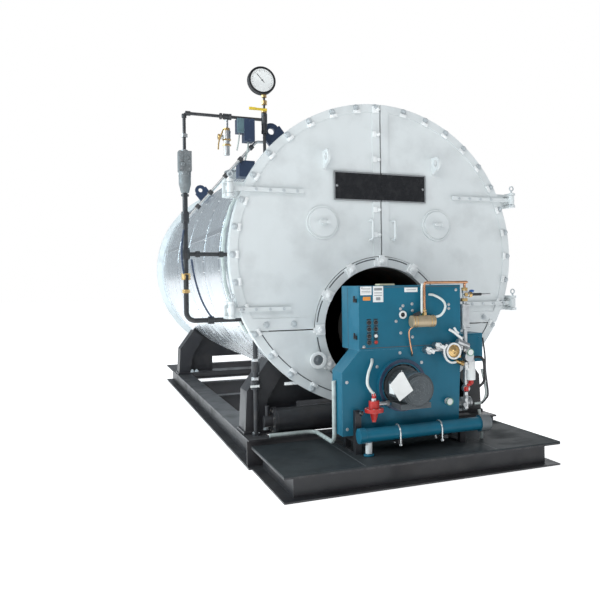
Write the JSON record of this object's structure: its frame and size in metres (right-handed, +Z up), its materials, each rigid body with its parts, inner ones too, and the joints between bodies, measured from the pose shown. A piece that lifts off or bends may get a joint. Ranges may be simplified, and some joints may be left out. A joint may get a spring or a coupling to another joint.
{
  "type": "industrial boiler",
  "caption": "Packaged fire-tube boiler on a skid with hinged front doors, burner, fuel piping, water column, gauge and flue and steam outlets.",
  "frame": {"origin": "On the floor at the middle of the skid, under the shell's axis.", "axes": "+Z up, -Y towards the doors and burner, +Y along the shell to the rear, +X to the right seen from the front."},
  "size_m": [2.515, 5.9, 2.804],
  "materials": {
    "skid_black": "satin black paint, dusty",
    "deck_grey": "worn dark grey paint",
    "jacket_aluminium": "bright rolled cladding",
    "front_paint": "light grey heat-resistant paint",
    "refractory": "cast insulating refractory",
    "boiler_steel": "dark mill steel",
    "nameplate_black": "semi-gloss black, thin grey edge, left bare",
    "burner_blue": "hammered blue paint",
    "motor_grey": "dark grey paint",
    "regulator_red": "red enamel",
    "brass": "dull brass",
    "copper": "oxidised copper tube",
    "valve_steel": "plain steel fittings",
    "dark_pipe": "black pipe paint",
    "column_grey": "grey painted casting",
    "lug_navy": "dark navy paint",
    "gauge": "black case with white dial",
    "conduit": "pale flexible conduit"
  },
  "bodies": {
    "boiler": {"skid_beams": "skid_black", "skid_cross_beams": "skid_black", "platform_frame": "skid_black", "deck_plate": "deck_grey", "saddles": "skid_black", "boiler_shell": "jacket_aluminium", "front_smokebox": "front_paint", "tube_sheet": "boiler_steel", "furnace_tube": "boiler_steel", "burner_ring": "front_paint", "lower_head_plate": "front_paint", "rear_cover": "front_paint", "flue_collar": "boiler_steel", "steam_nozzle": "boiler_steel", "lifting_lugs": "lug_navy", "hinge_brackets": "front_paint", "burner_windbox": "burner_blue", "burner_fan_housing": "burner_blue", "burner_blast_tube": "boiler_steel", "burner_side_box": "burner_blue", "blower_motor": "motor_grey", "burner_stand": "skid_black", "header_pipe": "burner_blue", "gas_regulator": "regulator_red", "fuel_actuator": "brass", "fuel_train": "valve_steel", "valve_cluster": "valve_steel", "copper_pipe": "copper", "steam_pipe": "dark_pipe", "pressure_gauge": "gauge", "water_column": "column_grey", "column_pipe": "dark_pipe", "shoulder_pipe": "valve_steel", "safety_valve": "valve_steel", "control_boxes": "lug_navy", "conduits": "conduit", "drain_pipe": "dark_pipe", "cross_pipe": "skid_black"},
    "door_left": {"door_left_plate": "front_paint", "door_left_lining": "refractory", "door_left_hinge_straps": "front_paint", "door_left_port_cover": "front_paint", "nameplate_left": "nameplate_black"},
    "door_right": {"door_right_plate": "front_paint", "door_right_lining": "refractory", "door_right_hinge_straps": "front_paint", "door_right_port_cover": "front_paint", "nameplate_right": "nameplate_black"}
  },
  "joints": [
    {"name": "door_left_hinge", "type": "hinge", "parent": "boiler", "child": "door_left", "pos_m": [-1.095, -2.187, 1.489], "axis": [0, 0, -1], "range_deg": [0, 105]},
    {"name": "door_right_hinge", "type": "hinge", "parent": "boiler", "child": "door_right", "pos_m": [1.095, -2.187, 1.489], "axis": [0, 0, 1], "range_deg": [0, 105]}
  ]
}
